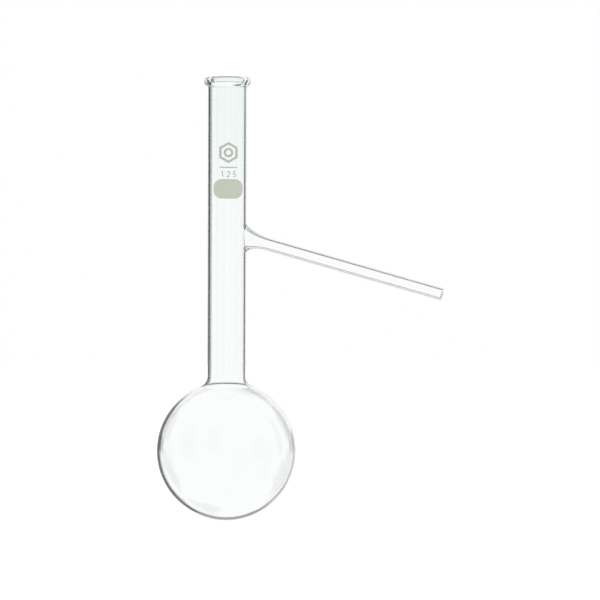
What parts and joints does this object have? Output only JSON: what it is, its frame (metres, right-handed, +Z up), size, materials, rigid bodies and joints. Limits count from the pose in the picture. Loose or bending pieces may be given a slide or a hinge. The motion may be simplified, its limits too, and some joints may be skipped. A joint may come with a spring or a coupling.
{
  "type": "side-arm distilling flask",
  "caption": "Round-bottomed side-arm distilling flask with a long beaded neck, a sloping delivery tube and fired enamel marks.",
  "frame": {"origin": "lowest outside point of the bulb, on the neck's axis", "axes": "+Z up along the neck's axis, the side arm slopes down towards +X, and the fired marks face -Y"},
  "size_m": [0.1397, 0.0678, 0.215],
  "materials": {
    "borosilicate_glass": "fire-polished clear",
    "label_enamel": "fired matt enamel",
    "mark_enamel": "fired enamel"
  },
  "bodies": {
    "root": {"bulb": "borosilicate_glass", "neck_seal": "borosilicate_glass", "neck_tube": "borosilicate_glass", "rim_bead": "borosilicate_glass", "side_arm_seal": "borosilicate_glass", "side_arm": "borosilicate_glass", "side_arm_tip": "borosilicate_glass", "marking_patch": "label_enamel", "capacity_numerals": "mark_enamel", "emblem": "mark_enamel", "emblem_rule": "mark_enamel"}
  },
  "joints": []
}
